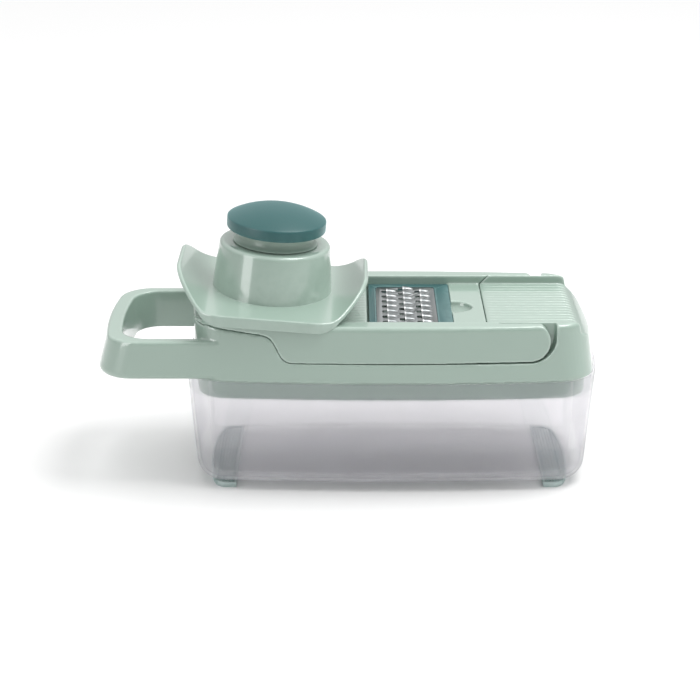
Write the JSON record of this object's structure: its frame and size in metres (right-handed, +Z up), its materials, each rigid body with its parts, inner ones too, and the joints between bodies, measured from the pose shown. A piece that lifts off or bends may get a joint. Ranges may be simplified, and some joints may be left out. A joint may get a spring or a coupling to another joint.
{
  "type": "mandoline slicer",
  "caption": "Box mandoline with a clear collecting tub, looped handle, flip lid over a dicing grid, grater insert between raised rails, and a sliding pronged food guard with a round knob.",
  "frame": {"origin": "on the floor under the middle of the overall box, with the guard at the handle end and the lid closed", "axes": "+X from the handle to the lid's hinge, +Y to the back long side, +Z up"},
  "size_m": [0.349, 0.1296, 0.1915],
  "materials": {
    "clear_tub": "clear, glossy",
    "foot_silicone": "translucent satin",
    "sage_body": "smooth satin gloss",
    "sage_guard": "smooth satin gloss",
    "pusher_plastic": "smooth satin",
    "teal_soft": "soft-touch matte",
    "teal_plastic": "satin",
    "blade_steel": "fine brushed",
    "pin_steel": "turned"
  },
  "bodies": {
    "tub": {"container": "clear_tub", "foot_pad_left": "foot_silicone", "foot_pad_right": "foot_silicone"},
    "base": {"base_frame": "sage_body", "hinge_pin_front": "pin_steel", "hinge_pin_back": "pin_steel", "dicing_frame": "teal_plastic", "long_blade_1": "blade_steel", "long_blade_2": "blade_steel", "long_blade_3": "blade_steel", "long_blade_4": "blade_steel", "long_blade_5": "blade_steel", "long_blade_6": "blade_steel", "long_blade_7": "blade_steel", "cross_blade_1": "blade_steel", "cross_blade_2": "blade_steel", "cross_blade_3": "blade_steel"},
    "lid": {"lid_frame": "sage_body", "press_pad": "teal_plastic"},
    "insert": {"insert_frame": "teal_plastic", "grater_plate": "blade_steel"},
    "guard": {"guard_body": "sage_guard"},
    "pusher": {"pusher_stem": "pusher_plastic", "knob_cap": "teal_soft", "prong_plate": "pusher_plastic", "stem_screw": "pin_steel"}
  },
  "joints": [
    {"name": "base_lift", "type": "slide", "parent": "tub", "child": "base", "axis": [0, 0, 1], "range_m": [0, 0.06]},
    {"name": "lid_hinge", "type": "hinge", "parent": "base", "child": "lid", "pos_m": [0.1245, 0, 0.112], "axis": [0, 1, 0], "range_deg": [0, 90]},
    {"name": "insert_lift", "type": "slide", "parent": "lid", "child": "insert", "axis": [0, 0, 1], "range_m": [0, 0.003]},
    {"name": "guard_slide", "type": "slide", "parent": "lid", "child": "guard", "axis": [1, 0, 0], "range_m": [0, 0.095]},
    {"name": "pusher_lift", "type": "slide", "parent": "guard", "child": "pusher", "axis": [0.0819, 0, 0.9966], "range_m": [0, 0.022]}
  ]
}
